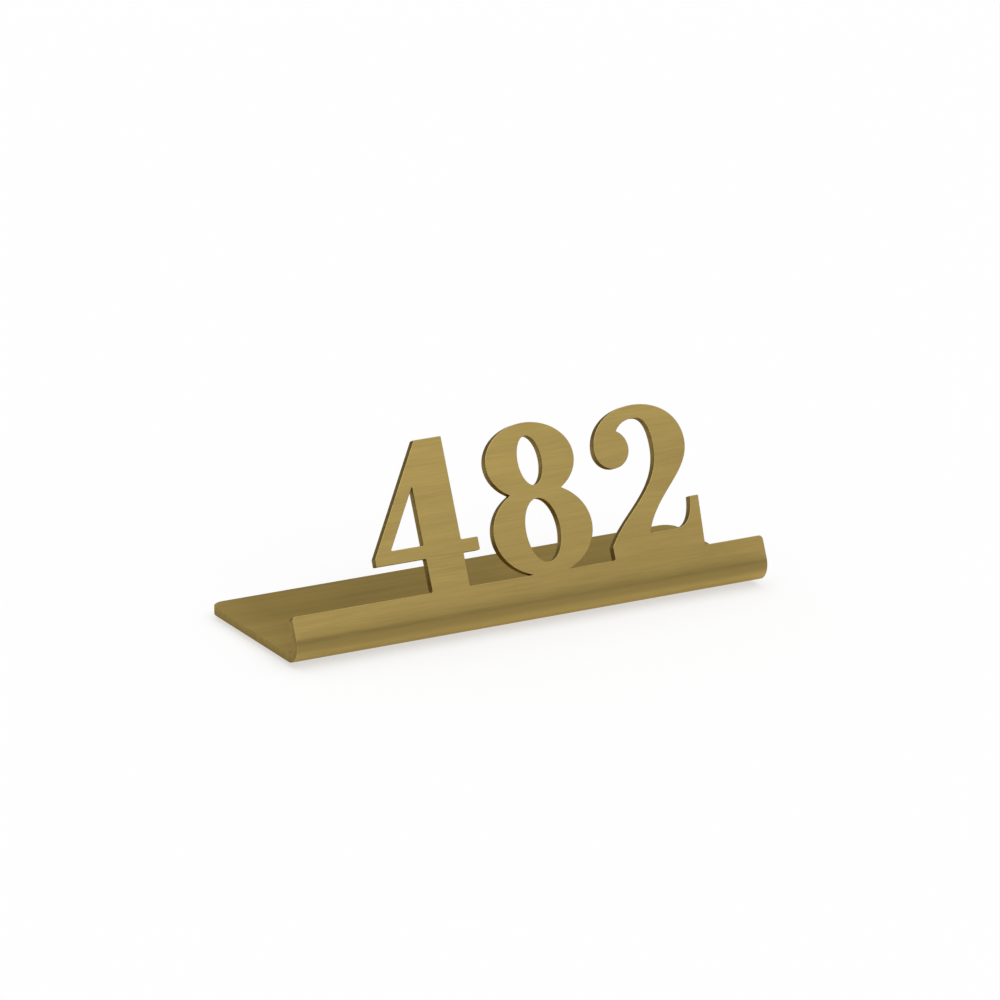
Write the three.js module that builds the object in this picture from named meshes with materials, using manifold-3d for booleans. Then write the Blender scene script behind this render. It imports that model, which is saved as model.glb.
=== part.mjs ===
// A table number folded from one piece of brushed sheet brass. Heavy numerals stand along the front edge of
// the blank, and one wide bend leans them back over a flat base. Four self-adhesive rubber pads keep the base
// off the table.
//
// Millimetres. +X runs along the sign from left to right as it is read, +Y from its front to its back, +Z up.
// The origin is on the table, under the middle of the sign.
import * as THREE from "three";
import { mergeVertices } from "three/addons/utils/BufferGeometryUtils.js";
import Module from "manifold-3d";

// Sheet and fold
const SIGN_WIDTH = 120;
const SIGN_DEPTH = 43.3;
const SHEET_THICKNESS = 2;
const BEND_INSIDE_RADIUS = 2.3;
const LEAN_DEGREES = 23.7; // how far the upright leans back from the vertical
const LIP_HEIGHT = 5.3; // flat strip between the bend and the feet of the numerals
const LIP_CORNER_RADIUS = 1;
const BASE_CORNER_RADIUS = 3.4;

// Numerals, from left to right 4, 8 and 2
const NUMERAL_HEIGHT = 34; // above the lip
const NUMERAL_GAP = 4;
const ROW_OFFSET = 4.2; // middle of the row of numerals, to the right of the middle of the sign
const STEM_WIDTH = 9.4; // straight heavy stroke
const BOWL_WIDTH = 8.2; // curved heavy strokes, at their widest
const HAIRLINE_WIDTH = 3; // thin strokes

// The 4
const FOUR_REACH = 12.4; // from its left tip to its stem
const FOUR_TIP_HEIGHT = 1.8; // blunt left tip, where the slanted stroke meets the crossbar
const FOUR_TOP_INSET = 2.6; // slanted stroke at the top, in from the left side of the stem
const CROSSBAR_HEIGHT = 7.6; // underside of the crossbar, above the lip
const CROSSBAR_OVERHANG = 4.2; // crossbar to the right of the stem

// The 8
const LOWER_COUNTER_WIDTH = 8.6;
const UPPER_COUNTER_WIDTH = 6;
const WAIST_HEIGHT = 18.3; // above the lip
const WAIST_NOTCH = 4.7; // depth of the waist, in from the sides of the upper bowl
const EIGHT_SINK = 0.7; // how far the round foot sinks into the lip

// The 2
const TWO_APERTURE = 6.3; // between its ball and its bowl
const BALL_RADIUS = 4.4;
const BALL_DROP = 9.2; // centre of the ball, below the top of the numeral
const NECK_DEGREES = 62; // where the thin stroke runs into the ball, up from its right side
const FOOT_HEIGHT = 4.8;
const TAIL_HEIGHT = 11.5; // raised right end of the foot, above the lip
const TAIL_WIDTH = 2.2; // at its top
const TAIL_SLANT = 0.7; // how far its right side leans out from the lip to its top

// Pads
const PAD_DIAMETER = 9;
const PAD_THICKNESS = 1;
const PAD_EDGE_RADIUS = 0.3;
const PAD_MARGIN = 3.5; // from the rim of a pad to the edges and the bend of the base
const GLUE_FILM = 0.15; // clearance between a pad and the brass, taken up by its adhesive

// Fineness of the curves
const NUMERAL_STEPS = 24;
const BEND_STEPS = 16;
const PAD_STEPS = 40;
const PAD_EDGE_STEPS = 3;

// Sizes that follow
const LEAN = THREE.MathUtils.degToRad(LEAN_DEGREES);
const BEND_OUTSIDE_RADIUS = BEND_INSIDE_RADIUS + SHEET_THICKNESS;
const UNDERSIDE = PAD_THICKNESS + GLUE_FILM;
const FRONT = -SIGN_DEPTH / 2;
const BACK = SIGN_DEPTH / 2;
const BEND_END = FRONT + BEND_OUTSIDE_RADIUS; // where the flat base starts
const NUMERAL_TOP = LIP_HEIGHT + NUMERAL_HEIGHT;
const FOUR_WIDTH = FOUR_REACH + STEM_WIDTH + CROSSBAR_OVERHANG;
const EIGHT_WIDTH = LOWER_COUNTER_WIDTH + 2 * BOWL_WIDTH;
const EIGHT_UPPER_WIDTH = UPPER_COUNTER_WIDTH + 2 * BOWL_WIDTH;
const TWO_WIDTH = 2 * BALL_RADIUS + TWO_APERTURE + BOWL_WIDTH + TAIL_SLANT;
const ROW_WIDTH = FOUR_WIDTH + EIGHT_WIDTH + TWO_WIDTH + 2 * NUMERAL_GAP;
const FOUR_LEFT = ROW_OFFSET - ROW_WIDTH / 2;
const EIGHT_LEFT = FOUR_LEFT + FOUR_WIDTH + NUMERAL_GAP;
const TWO_LEFT = EIGHT_LEFT + EIGHT_WIDTH + NUMERAL_GAP;

const BRASS = new THREE.MeshStandardMaterial({ color: 0xa08a50, roughness: 0.42, metalness: 1 });
const RUBBER = new THREE.MeshStandardMaterial({ color: 0x2a2725, roughness: 0.9, metalness: 0 });

const wasm = await Module();
wasm.setup();

// A closed geometry as a solid that can be joined and cut.
function solidOf(geometry) {
  const bare = geometry.clone();
  bare.deleteAttribute("normal");
  bare.deleteAttribute("uv");
  const welded = mergeVertices(bare);
  const vertProperties = new Float32Array(welded.attributes.position.array);
  const triVerts = new Uint32Array(welded.index.array);
  return new wasm.Manifold(new wasm.Mesh({ numProp: 3, vertProperties, triVerts }));
}

function geometryOf(solid) {
  const { vertProperties, triVerts } = solid.getMesh();
  const geometry = new THREE.BufferGeometry();
  geometry.setAttribute("position", new THREE.BufferAttribute(vertProperties, 3));
  geometry.setIndex(new THREE.BufferAttribute(triVerts, 1));
  geometry.computeVertexNormals();
  return geometry;
}

// The sheet is drawn in the frame of its upright: x along the sign, y up the leaning face from the end of the
// bend, and z out of the front face, so that the sheet lies between z = -SHEET_THICKNESS and z = 0. This
// stands that frame on the table.
const uprightToTable = new THREE.Matrix4()
  .makeRotationX(Math.PI / 2 - LEAN)
  .setPosition(
    0,
    BEND_END - BEND_OUTSIDE_RADIUS * Math.cos(LEAN),
    UNDERSIDE + BEND_OUTSIDE_RADIUS * (1 + Math.sin(LEAN)),
  );

// The edge of the 4, from the left foot of its stem to the right foot, and the triangle inside it.
function traceFour(edge) {
  const stemLeft = FOUR_LEFT + FOUR_REACH;
  const stemRight = stemLeft + STEM_WIDTH;
  const right = FOUR_LEFT + FOUR_WIDTH;
  const barBottom = LIP_HEIGHT + CROSSBAR_HEIGHT;
  const barTop = barBottom + HAIRLINE_WIDTH;
  const tipTop = barBottom + FOUR_TIP_HEIGHT;
  const topLeft = stemLeft + FOUR_TOP_INSET;
  edge.lineTo(stemLeft, LIP_HEIGHT);
  edge.lineTo(stemLeft, barBottom);
  edge.lineTo(FOUR_LEFT, barBottom);
  edge.lineTo(FOUR_LEFT, tipTop);
  edge.lineTo(topLeft, NUMERAL_TOP);
  edge.lineTo(stemRight, NUMERAL_TOP);
  edge.lineTo(stemRight, barTop);
  edge.lineTo(right, barTop);
  edge.lineTo(right, barBottom);
  edge.lineTo(stemRight, barBottom);
  edge.lineTo(stemRight, LIP_HEIGHT);

  const slope = (NUMERAL_TOP - tipTop) / (topLeft - FOUR_LEFT);
  const slantWidth = HAIRLINE_WIDTH * Math.hypot(1, 1 / slope);
  const counterLeft = FOUR_LEFT + (barTop - tipTop) / slope + slantWidth;
  const counter = new THREE.Path();
  counter.moveTo(counterLeft, barTop);
  counter.lineTo(stemLeft, barTop);
  counter.lineTo(stemLeft, barTop + slope * (stemLeft - counterLeft));
  counter.closePath();
  return [counter];
}

// The 8 is two ellipses, one sunk in the lip and one at the top, that cross at the two ends of its waist.
function traceEight(edge) {
  const middle = EIGHT_LEFT + EIGHT_WIDTH / 2;
  const bottom = LIP_HEIGHT - EIGHT_SINK;
  const waist = LIP_HEIGHT + WAIST_HEIGHT;
  const lower = bowlOfEight(EIGHT_WIDTH / 2, bottom, waist);
  const upper = bowlOfEight(EIGHT_UPPER_WIDTH / 2, NUMERAL_TOP, waist);
  const angleAt = (bowl, height) => Math.asin((height - bowl.centre) / bowl.halfHeight);
  const foot = angleAt(lower, LIP_HEIGHT);
  const lowerWaist = angleAt(lower, waist);
  const upperWaist = angleAt(upper, waist);
  const arc = (bowl, start, end) => {
    edge.absellipse(middle, bowl.centre, bowl.halfWidth, bowl.halfHeight, start, end, true);
  };
  arc(lower, Math.PI - foot, Math.PI - lowerWaist);
  arc(upper, Math.PI - upperWaist, upperWaist);
  arc(lower, lowerWaist, foot);

  const counter = (width, low, high) => {
    const hole = new THREE.Path();
    hole.absellipse(middle, (low + high) / 2, width / 2, (high - low) / 2, 0, 2 * Math.PI);
    return hole;
  };
  return [
    counter(LOWER_COUNTER_WIDTH, bottom + HAIRLINE_WIDTH, waist - HAIRLINE_WIDTH / 2),
    counter(UPPER_COUNTER_WIDTH, waist + HAIRLINE_WIDTH / 2, NUMERAL_TOP - HAIRLINE_WIDTH),
  ];
}

// The ellipse of a given half width that reaches to the height tip and passes through both ends of the waist.
function bowlOfEight(halfWidth, tip, waist) {
  const halfWaist = EIGHT_UPPER_WIDTH / 2 - WAIST_NOTCH;
  const bulge = Math.sqrt(1 - (halfWaist / halfWidth) ** 2);
  const halfHeight = Math.abs(waist - tip) / (1 + bulge);
  return { halfWidth, halfHeight, centre: tip + Math.sign(waist - tip) * halfHeight };
}

// The 2 sweeps from a ball over its crown and down its heavy bowl to a flat foot with a raised tail. The
// handles of its curves are shares of its width and height.
function traceTwo(edge) {
  const across = (share) => TWO_LEFT + share * TWO_WIDTH;
  const up = (share) => LIP_HEIGHT + share * NUMERAL_HEIGHT;
  const right = TWO_LEFT + TWO_WIDTH;
  const bowlRight = right - TAIL_SLANT;
  const bowlLeft = bowlRight - BOWL_WIDTH;
  const bowlMiddle = up(0.72);
  const crown = across(0.48);
  const underCrown = NUMERAL_TOP - HAIRLINE_WIDTH;
  const ballX = TWO_LEFT + BALL_RADIUS;
  const ballY = NUMERAL_TOP - BALL_DROP;
  const neck = THREE.MathUtils.degToRad(NECK_DEGREES);
  const neckX = ballX + BALL_RADIUS * Math.cos(neck);
  const neckY = ballY + BALL_RADIUS * Math.sin(neck);
  const footTop = LIP_HEIGHT + FOOT_HEIGHT;
  const tailTop = LIP_HEIGHT + TAIL_HEIGHT;
  const tailLeft = right - TAIL_WIDTH;
  edge.lineTo(TWO_LEFT, LIP_HEIGHT);
  edge.lineTo(TWO_LEFT, LIP_HEIGHT + HAIRLINE_WIDTH);
  edge.bezierCurveTo(across(0.22), up(0.32), bowlLeft, up(0.42), bowlLeft, bowlMiddle);
  edge.bezierCurveTo(bowlLeft, up(0.85), across(0.58), underCrown, crown, underCrown);
  edge.quadraticCurveTo(across(0.34), underCrown, neckX, neckY);
  edge.absarc(ballX, ballY, BALL_RADIUS, neck, Math.PI, true);
  edge.bezierCurveTo(TWO_LEFT, up(0.88), across(0.2), NUMERAL_TOP, crown, NUMERAL_TOP);
  edge.bezierCurveTo(across(0.78), NUMERAL_TOP, bowlRight, up(0.88), bowlRight, bowlMiddle);
  edge.bezierCurveTo(bowlRight, up(0.5), across(0.56), up(0.4), across(0.42), footTop);
  edge.lineTo(across(0.71), footTop);
  edge.quadraticCurveTo(across(0.88), footTop, tailLeft, tailTop);
  edge.lineTo(right, tailTop);
  edge.lineTo(bowlRight, LIP_HEIGHT);
  return [];
}

// The flat upright. Its edge runs up the left end, along the lip, round each numeral in turn and down the
// right end.
function uprightOutline() {
  const end = SIGN_WIDTH / 2;
  const cornerX = end - LIP_CORNER_RADIUS;
  const cornerY = LIP_HEIGHT - LIP_CORNER_RADIUS;
  const outline = new THREE.Shape();
  outline.moveTo(-end, 0);
  outline.lineTo(-end, cornerY);
  outline.absarc(-cornerX, cornerY, LIP_CORNER_RADIUS, Math.PI, Math.PI / 2, true);
  outline.holes.push(...traceFour(outline), ...traceEight(outline), ...traceTwo(outline));
  outline.absarc(cornerX, cornerY, LIP_CORNER_RADIUS, Math.PI / 2, 0, true);
  outline.lineTo(end, 0);
  outline.closePath();
  return outline;
}

function uprightPanel() {
  return new THREE.ExtrudeGeometry(uprightOutline(), {
    depth: SHEET_THICKNESS,
    bevelEnabled: false,
    curveSegments: NUMERAL_STEPS,
  }).translate(0, 0, -SHEET_THICKNESS);
}

// The lip, the bend and the base as one section, drawn with y of the upright across the page and z up it.
function foldedStrip() {
  const lipTop = LIP_HEIGHT - LIP_CORNER_RADIUS;
  const start = Math.PI / 2;
  const end = start + Math.PI / 2 + LEAN;
  const baseLength = SIGN_DEPTH - BEND_OUTSIDE_RADIUS;
  const backFrom = (radius) => [
    radius * Math.cos(end) + baseLength * Math.sin(LEAN),
    radius * Math.sin(end) - BEND_OUTSIDE_RADIUS - baseLength * Math.cos(LEAN),
  ];
  const section = new THREE.Shape();
  section.moveTo(lipTop, 0);
  section.lineTo(0, 0);
  section.absarc(0, -BEND_OUTSIDE_RADIUS, BEND_OUTSIDE_RADIUS, start, end, false);
  section.lineTo(...backFrom(BEND_OUTSIDE_RADIUS));
  section.lineTo(...backFrom(BEND_INSIDE_RADIUS));
  section.absarc(0, -BEND_OUTSIDE_RADIUS, BEND_INSIDE_RADIUS, end, start, true);
  section.lineTo(lipTop, -SHEET_THICKNESS);
  section.closePath();
  const along = new THREE.Matrix4().makeBasis(
    new THREE.Vector3(0, 1, 0),
    new THREE.Vector3(0, 0, 1),
    new THREE.Vector3(1, 0, 0),
  );
  return new THREE.ExtrudeGeometry(section, {
    depth: SIGN_WIDTH,
    bevelEnabled: false,
    curveSegments: BEND_STEPS,
  })
    .applyMatrix4(along)
    .translate(-SIGN_WIDTH / 2, 0, 0);
}

// A block over the plan of the sign, with the rounded back corners of the base.
function planBlock() {
  const end = SIGN_WIDTH / 2;
  const cornerX = end - BASE_CORNER_RADIUS;
  const cornerY = BACK - BASE_CORNER_RADIUS;
  const front = FRONT - SHEET_THICKNESS;
  const height = UNDERSIDE + SIGN_DEPTH + NUMERAL_TOP;
  const plan = new THREE.Shape();
  plan.moveTo(-end, front);
  plan.lineTo(end, front);
  plan.absarc(cornerX, cornerY, BASE_CORNER_RADIUS, 0, Math.PI / 2, false);
  plan.absarc(-cornerX, cornerY, BASE_CORNER_RADIUS, Math.PI / 2, Math.PI, false);
  plan.closePath();
  return new THREE.ExtrudeGeometry(plan, {
    depth: height,
    bevelEnabled: false,
    curveSegments: BEND_STEPS,
  });
}

function signPlate() {
  const plan = planBlock().applyMatrix4(uprightToTable.clone().invert());
  const strip = solidOf(foldedStrip()).intersect(solidOf(plan));
  const plate = new THREE.Mesh(geometryOf(strip.add(solidOf(uprightPanel()))), BRASS);
  plate.name = "sign_plate";
  plate.applyMatrix4(uprightToTable);
  return plate;
}

// A disc with a rounded lower rim, standing on the table.
function rubberPad(name, x, y) {
  const radius = PAD_DIAMETER / 2;
  const rim = radius - PAD_EDGE_RADIUS;
  const half = new THREE.Path();
  half.moveTo(0, 0);
  half.lineTo(rim, 0);
  half.absarc(rim, PAD_EDGE_RADIUS, PAD_EDGE_RADIUS, -Math.PI / 2, 0, false);
  half.lineTo(radius, PAD_THICKNESS);
  half.lineTo(0, PAD_THICKNESS);
  const disc = new THREE.LatheGeometry(half.getPoints(PAD_EDGE_STEPS), PAD_STEPS);
  const pad = new THREE.Mesh(disc.rotateX(Math.PI / 2), RUBBER);
  pad.name = name;
  pad.position.set(x, y, 0);
  return pad;
}

const sign = new THREE.Group();
sign.add(signPlate());
const padInset = PAD_MARGIN + PAD_DIAMETER / 2;
for (const [row, y] of [["front", BEND_END + padInset], ["rear", BACK - padInset]]) {
  sign.add(rubberPad(`pad_${row}_left`, padInset - SIGN_WIDTH / 2, y));
  sign.add(rubberPad(`pad_${row}_right`, SIGN_WIDTH / 2 - padInset, y));
}

export default sign;
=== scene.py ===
"""A folded brass table number: its brushed sheet, cut edges and rubber pads, in a white studio."""
import math
from typing import NamedTuple

import bpy
from bpy.props import FloatProperty, FloatVectorProperty, PointerProperty
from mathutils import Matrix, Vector
from mathutils.geometry import delaunay_2d_cdt
from mathutils.kdtree import KDTree


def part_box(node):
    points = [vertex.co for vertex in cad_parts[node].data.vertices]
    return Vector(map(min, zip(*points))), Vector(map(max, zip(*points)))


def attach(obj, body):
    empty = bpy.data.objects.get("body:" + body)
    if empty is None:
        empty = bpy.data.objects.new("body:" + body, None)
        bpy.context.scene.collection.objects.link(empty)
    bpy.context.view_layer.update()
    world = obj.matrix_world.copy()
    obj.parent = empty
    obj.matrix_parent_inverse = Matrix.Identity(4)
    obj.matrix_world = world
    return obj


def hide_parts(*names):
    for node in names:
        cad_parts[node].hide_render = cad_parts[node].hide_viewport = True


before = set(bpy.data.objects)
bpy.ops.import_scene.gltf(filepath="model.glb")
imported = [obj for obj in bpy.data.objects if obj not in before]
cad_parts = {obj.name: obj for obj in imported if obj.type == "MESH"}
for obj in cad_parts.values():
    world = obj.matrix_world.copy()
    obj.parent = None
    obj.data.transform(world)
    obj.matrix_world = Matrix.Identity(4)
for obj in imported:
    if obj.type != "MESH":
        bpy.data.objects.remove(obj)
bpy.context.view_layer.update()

bl_info = {
    "name": "Folded Brass Table Number",
    "version": (1, 0, 0),
    "blender": (4, 5, 0),
    "location": "3D View > Sidebar > Table Number",
    "description": "Folds a table number from brushed brass around its CAD part and sets a studio",
    "category": "Object",
}

# Scene units are metres. +X runs along the sign, +Y from its front to its back, +Z up from the table.
MM = 0.001
PLATE_LOW, PLATE_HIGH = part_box("sign_plate")
PAD_PLACES = ("front_left", "front_right", "rear_left", "rear_right")

# Places of the materials on the sheet and on a pad
FACE_SLOT, EDGE_SLOT = 0, 1
RUBBER_SLOT, FILM_SLOT = 0, 1

# Fineness of the meshes
LINE_STEP = 1.0 * MM  # along straight cuts
CURVE_STEP = 0.5 * MM  # along curved cuts
ARC_STEP = math.radians(9)  # most that a small arc turns in one step
SAME_PLACE = 0.01 * MM  # points of a cut that are this close are one point
GRID_STEP = 2.0 * MM  # between the points inside the faces
GRID_MARGIN = 0.6 * MM  # from those points to a cut
MERGE_DISTANCE = 1e-6 * MM  # at which the triangles of a face take two points for one
INSIDE_ONLY = 1  # asks delaunay_2d_cdt for the triangles inside the border
BEND_ROWS = 26
CORNER_STEPS = 5
CORNER_SHARE = 0.45  # most of a side of a cut that one eased corner takes up
SHARP_TURN = math.radians(20)  # a cut that turns further than this at one point has a corner there
EDGE_TURNS = tuple(math.radians(degrees) for degrees in (0, 30, 60, 90))
BRUSHED_STEPS = 2  # steps of an eased edge, from its face on, that are brushed with the face
PAD_STEPS = 72
PAD_RINGS = (0.35, 0.7)  # rings of corners in the two ends of a pad, as shares of its radius
PAD_RIM_STEPS = 6
FLOOR_STEPS = 96

# Camera
SENSOR_WIDTH = 36  # in millimetres, as Blender has it
NEAREST_SEEN = 0.05
FARTHEST_SEEN = 20.0

# Shaders
WHITE = (1.0, 1.0, 1.0)
MIX_FIRST, MIX_SECOND, MIX_RESULT = 6, 7, 2  # the Mix node's sockets for colours
NOISE_ROUGHNESS = 0.55


class Grain(NamedTuple):
    """A noise: blobs to a millimetre, how far they are drawn out along each axis, and fine detail."""

    per_mm: float
    stretch: tuple = (1, 1, 1)
    detail: float = 2.0


# Grain of the brushed faces and the cut edges, along the sign, up the blank and through the sheet
HAIRS = Grain(7.0, (60, 1, 1))
SCRATCHES = Grain(2.4, (24, 1, 1), 3.0)
STROKES = Grain(0.9, (60, 1, 1))
BANDS = Grain(0.21, (48, 1, 0.08))  # so thin that the two faces of the sheet have different bands
CLOUDS = Grain(0.06, (2.5, 1, 1), 3.0)
DRAG_LINES = Grain(4.5, (1, 1, 20))
HEAT = Grain(0.5, (1, 1, 5), 3.0)

# Grain of the pads
TOOTH = Grain(9.0)
DUST = Grain(0.7, detail=4.0)
DUST_CONTRAST = 1.6  # how sharply dusty rubber is set off from clean rubber
FILM_CLOUDS = Grain(1.5, detail=3.0)


def length(name, description, millimetres):
    """A size that a user can change."""
    return FloatProperty(
        name=name, description=description, default=millimetres * MM, min=0.0, unit="LENGTH", precision=5
    )


def angle(name, description, degrees):
    """An angle that a user can change."""
    return FloatProperty(
        name=name, description=description, default=math.radians(degrees), subtype="ANGLE"
    )


def share(name, description, default):
    """A share from 0 to 1 that a user can change."""
    return FloatProperty(
        name=name, description=description, default=default, min=0.0, max=1.0, subtype="FACTOR"
    )


def strength(name, description, default):
    """A strength of light that a user can change."""
    return FloatProperty(name=name, description=description, default=default, min=0.0)


def colour(name, description, default):
    """A colour that a user can change."""
    return FloatVectorProperty(
        name=name, description=description, default=default, min=0.0, max=1.0, size=3, subtype="COLOR"
    )


class SheetSizes(bpy.types.PropertyGroup):
    """Sizes of the folded sheet."""

    width: length("Width", "From end to end of the sign", (PLATE_HIGH.x - PLATE_LOW.x) / MM)
    depth: length("Depth", "From the bend to the back edge", (PLATE_HIGH.y - PLATE_LOW.y) / MM)
    thickness: length("Thickness", "Thickness of the sheet", 2)
    bend_radius: length("Bend radius", "Inside radius of the fold", 2.3)
    bend_ease: length("Bend ease", "How far the shading of the fold runs out past its ends", 1.0)
    lean: angle("Lean", "How far the upright leans back from the vertical", 23.7)
    lip_height: length("Lip height", "Flat strip between the bend and the feet of the numerals", 5.3)
    lip_corner: length("Lip corners", "Radius of the two ends of the lip", 1)
    base_corner: length("Base corners", "Radius of the back corners of the base", 3.4)
    eased_edge: length("Eased edges", "Radius worn on the edges of the faces", 0.1)
    eased_corner: length("Eased corners", "Radius that the cut leaves on sharp corners", 0.3)


class NumeralSizes(bpy.types.PropertyGroup):
    """Sizes of the numerals 4, 8 and 2, which end at the top of the CAD part."""

    gap: length("Gap", "Between two numerals", 4)
    row_offset: length("Row offset", "Middle of the row, to the right of the middle of the sign", 4.2)
    stem: length("Stem", "Straight heavy stroke", 9.4)
    bowl: length("Bowl", "Curved heavy strokes, at their widest", 8.2)
    hairline: length("Hairline", "Thin strokes", 3)
    four_reach: length("4 reach", "From the left tip of the 4 to its stem", 12.4)
    four_tip: length("4 tip", "Height of the blunt left tip of the 4", 1.8)
    four_top_inset: length("4 top inset", "Top of the slanted stroke, in from the side of the stem", 2.6)
    crossbar_height: length("Crossbar height", "Underside of the crossbar, above the lip", 7.6)
    crossbar_overhang: length("Crossbar overhang", "Crossbar to the right of the stem", 4.2)
    lower_counter: length("Lower counter", "Width of the lower opening of the 8", 8.6)
    upper_counter: length("Upper counter", "Width of the upper opening of the 8", 6)
    waist_height: length("Waist height", "Waist of the 8, above the lip", 18.3)
    waist_notch: length("Waist notch", "Depth of the waist, in from the sides of the upper bowl", 4.7)
    eight_sink: length("8 sink", "How far the round foot of the 8 sinks into the lip", 0.7)
    two_aperture: length("2 aperture", "Between the ball of the 2 and its bowl", 6.3)
    ball_radius: length("Ball radius", "Ball at the start of the 2", 4.4)
    ball_drop: length("Ball drop", "Centre of the ball, below the top of the numeral", 9.2)
    neck: angle("Neck", "Where the thin stroke runs into the ball, up from its right side", 62)
    foot_height: length("Foot height", "Flat foot of the 2", 4.8)
    tail_height: length("Tail height", "Raised right end of the foot", 11.5)
    tail_width: length("Tail width", "Raised right end of the foot, at its top", 2.2)
    tail_slant: length("Tail slant", "How far the tail leans out from the lip to its top", 0.7)


class BrassFinish(bpy.types.PropertyGroup):
    """Look of the brushed faces and of the cut edges."""

    light: colour("Light brass", "Brass on the ridges of the grain", (0.545, 0.396, 0.130))
    dark: colour("Dark brass", "Brass in the scratches of the grain", (0.325, 0.233, 0.075))
    grazing: colour("Grazing tint", "Tint of the brass at a grazing angle", (0.76, 0.69, 0.53))
    tone: share("Tone", "Mean tone of the clean faces, from dark to light", 0.63)
    hair_tone: share("Hairs", "How much the finest grain varies the tone", 0.4)
    scratch_tone: share("Scratches", "How much short scratches vary the tone", 0.5)
    stroke_tone: share("Strokes", "How much long strokes of the brush vary the tone", 0.35)
    cloud_tone: share("Clouds", "How much clouds of tarnish vary the tone", 0.35)
    outer_bands: share("Outer bands", "How much broad bands vary the tone outside the fold", 0.5)
    inner_bands: share("Inner bands", "How much broad bands vary the tone inside the fold", 0.9)
    # The next two settings paint shade: the brass grows darker from a set height on the upright down to
    # the fold, and is darkest over the whole base.
    darkening: share("Tarnish", "How much duller the brass is at the fold than at the top", 0.22)
    fold_shade_height: length("Tarnish height", "How far up the upright that dulling ends", 30)
    # The next three settings paint light: the sheet is lighter near both its ends, most inside the fold
    # on the top of the base, where the upright blocks less light.
    painted_end_light: share("Rubbed ends", "How much cleaner fingers have rubbed both ends of the base", 0.4)
    outer_end_light: share("Outer rub", "How much of that rubbing shows outside the fold", 0.25)
    end_light_reach: length("Rub reach", "How far in from its ends the sheet is rubbed", 9)
    # The next five settings paint a dark reflection on the outside of the bend, all along the line that
    # faces forward.
    mark: colour("Bend mark", "Brass dulled by the press tool, outside the bend", (0.22, 0.160, 0.052))
    reflection_share: share("Bend mark share", "How far the press tool has dulled it", 0.68)
    reflection_streaks: share("Bend mark streaks", "How much the scratches streak the mark", 0.4)
    reflection_drop: length("Bend mark drop", "Middle of the mark, below the upper end of the bend", 1.45)
    reflection_reach: length("Bend mark reach", "From the middle of the mark to where it ends", 1.9)
    roughness: share("Roughness", "Mean roughness of the brushed faces", 0.38)
    hair_roughness: share("Rough hairs", "How much the finest grain varies the roughness", 0.16)
    cloud_roughness: share("Rough clouds", "How much the tarnish varies the roughness", 0.12)
    grain_depth: length("Grain depth", "Depth of the hairs and scratches", 0.008)
    hair_share: share("Hair share", "How much of that depth is hairs and not scratches", 0.4)
    rim: colour("Worn rim", "Bare brass along the eased edges", (0.54, 0.41, 0.155))
    rim_wear: share("Rim wear", "How far the eased edges of the faces are worn", 0.65)
    rim_patches: share("Rim patches", "How much the scratches break up that wear", 0.7)
    rim_tint: share("Rim tint", "How much bare brass shows where a rim is fully worn", 0.25)
    rim_polish: share("Rim polish", "How much smoother a rim is where it is fully worn", 0.06)
    edge_light: colour("Light edge", "Cut edge where it is cleanest", (0.340, 0.245, 0.085))
    edge_dark: colour("Dark edge", "Cut edge where the heat has browned it", (0.095, 0.065, 0.022))
    edge_tone: share("Edge tone", "Mean tone of the cut edges, from dark to light", 0.45)
    drag_tone: share("Drag lines", "How much the drag lines of the cut vary the tone", 1.0)
    heat_tone: share("Heat stains", "How much patches of heat vary the tone", 0.45)
    # The next setting makes the cut edges darker towards the outer face of the sheet, which is the front
    # of the upright and the underside of the base.
    edge_front_dimming: share("Burnt side", "How much browner the cut edges are at the front", 0.3)
    linish: share("Linished edges", "How much cleaner the edges are below the numerals", 0.2)
    linish_fade: length("Linish fade", "Length over which that ends at the feet of the numerals", 0.3)
    edge_wear: share("Edge wear", "How much bare brass shows on the rims of the cut edges", 0.4)
    edge_roughness: share("Edge roughness", "Mean roughness of the cut edges", 0.4)
    drag_roughness: share("Rough drag", "How much the drag lines vary the roughness", 0.2)
    drag_depth: length("Drag depth", "Depth of the drag lines", 0.012)


class PadLook(bpy.types.PropertyGroup):
    """Sizes and look of the rubber pads, which stand where the CAD pads stand."""

    edge_radius: length("Edge radius", "Radius of the lower rim", 0.3)
    film_inset: length("Film inset", "Rim of the adhesive film, in from the rim of the pad", 0.12)
    rubber: colour("Rubber", "Matt black rubber", (0.022, 0.020, 0.019))
    rubber_dust: colour("Dusty rubber", "Rubber where dust clings to it", (0.060, 0.056, 0.050))
    dust: share("Dust", "How much of the rubber is dusty", 0.3)
    rubber_roughness: share("Rubber roughness", "Mean roughness of the rubber", 0.82)
    dust_roughness: share("Rough dust", "How much the dust varies the roughness", 0.2)
    tooth_depth: length("Tooth depth", "Depth of the rubber's fine tooth", 0.02)
    film: colour("Film", "Clear adhesive film", (0.62, 0.60, 0.54))
    cloudy_film: colour("Cloudy film", "Film where it has bedded down", (0.496, 0.480, 0.432))
    film_roughness: share("Film roughness", "Mean roughness of the film", 0.4)
    cloud_roughness: share("Rough clouds", "How much its clouds vary the roughness", 0.3)


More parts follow.
